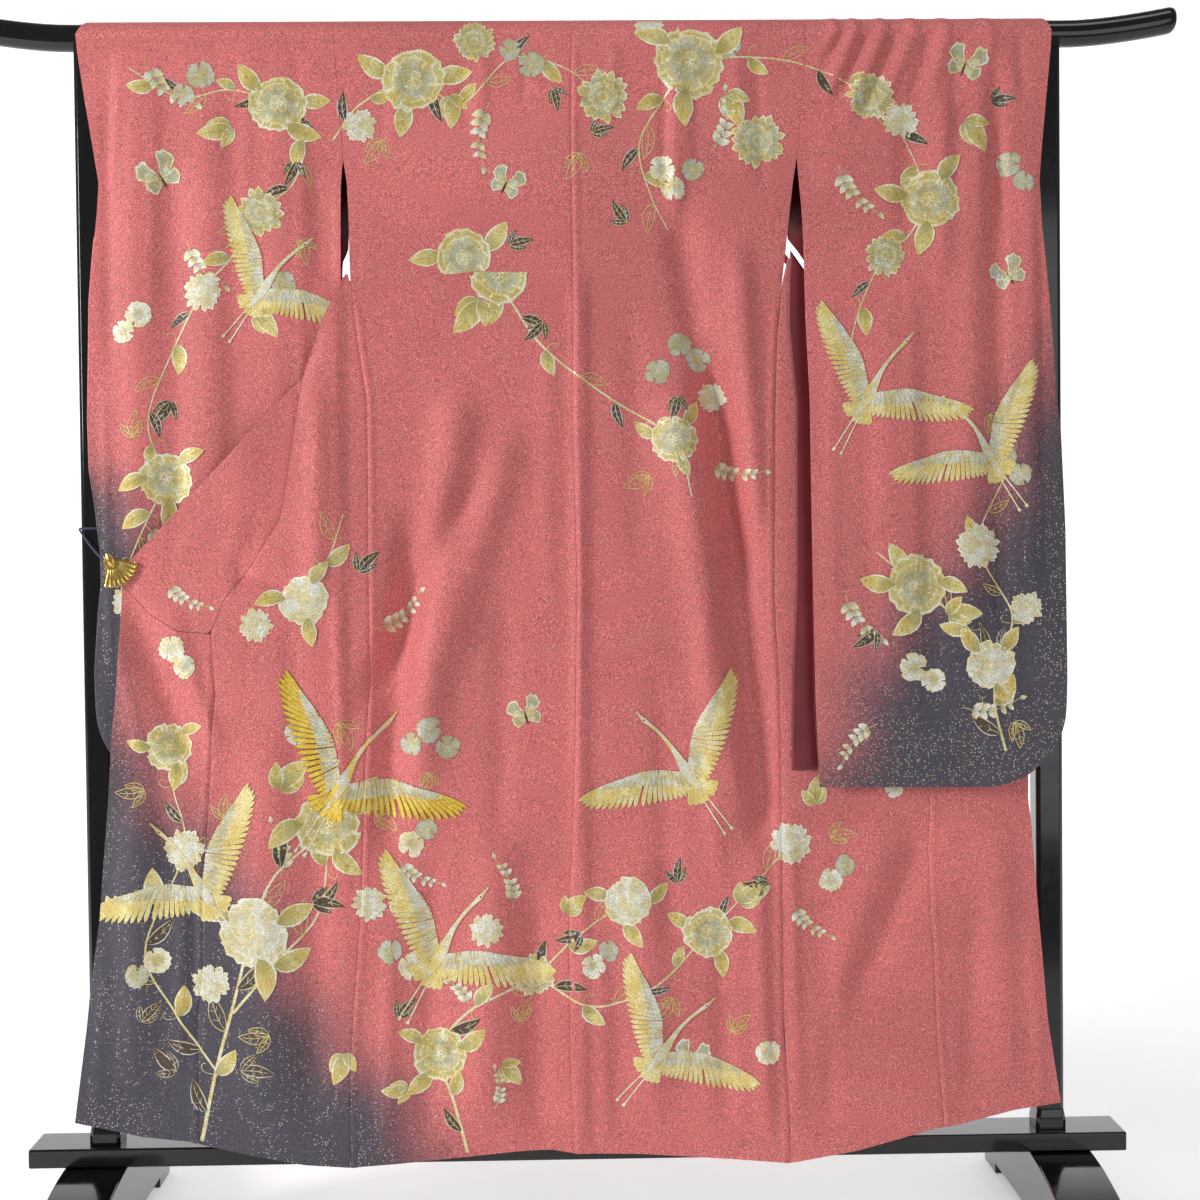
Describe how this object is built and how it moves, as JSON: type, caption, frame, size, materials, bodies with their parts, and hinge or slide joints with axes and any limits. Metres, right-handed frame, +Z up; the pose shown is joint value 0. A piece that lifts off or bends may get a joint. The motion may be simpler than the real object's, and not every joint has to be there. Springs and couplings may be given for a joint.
{
  "type": "furisode kimono on a kimono stand",
  "caption": "Long-sleeved formal kimono draped open over a black lacquered stand with a bar on two posts, seen from its back, with one front drawn aside by a fan-shaped clip.",
  "frame": {"origin": "on the floor under the middle of the stand, at the bottom centre of the bounding box", "axes": "+Z up; +X along the stand's bar to the viewer's right, looking at the garment's back; +Y away from the garment's back"},
  "size_m": [1.716, 0.57, 1.7272],
  "materials": {
    "crepe": "pink silk crepe shading to slate grey, with gold and silver flowers",
    "lining": "smooth dark red silk",
    "lacquer": "black gloss lacquer",
    "gold": "polished gold plate",
    "cord": "dark purple cord"
  },
  "bodies": {
    "root": {"back_left": "crepe", "back_right": "crepe", "front_left": "crepe", "front_left_upper": "crepe", "front_right": "crepe", "front_right_upper": "crepe", "okumi_left": "crepe", "okumi_right": "crepe", "sleeve_left": "crepe", "sleeve_right": "crepe", "lining_right": "lining", "stand_bar": "lacquer", "post_left": "lacquer", "post_right": "lacquer", "post_foot_left": "lacquer", "post_foot_right": "lacquer", "base_beam": "lacquer", "foot_left": "lacquer", "foot_right": "lacquer", "pad_left_near": "lacquer", "pad_left_far": "lacquer", "pad_right_near": "lacquer", "pad_right_far": "lacquer", "fan_clip": "gold", "clip_cord": "cord", "clip_cord_turn": "cord", "collar_left": "crepe", "collar_shoulder_left": "crepe", "collar_neck": "crepe", "collar_shoulder_right": "crepe", "collar_right": "crepe"}
  },
  "joints": []
}
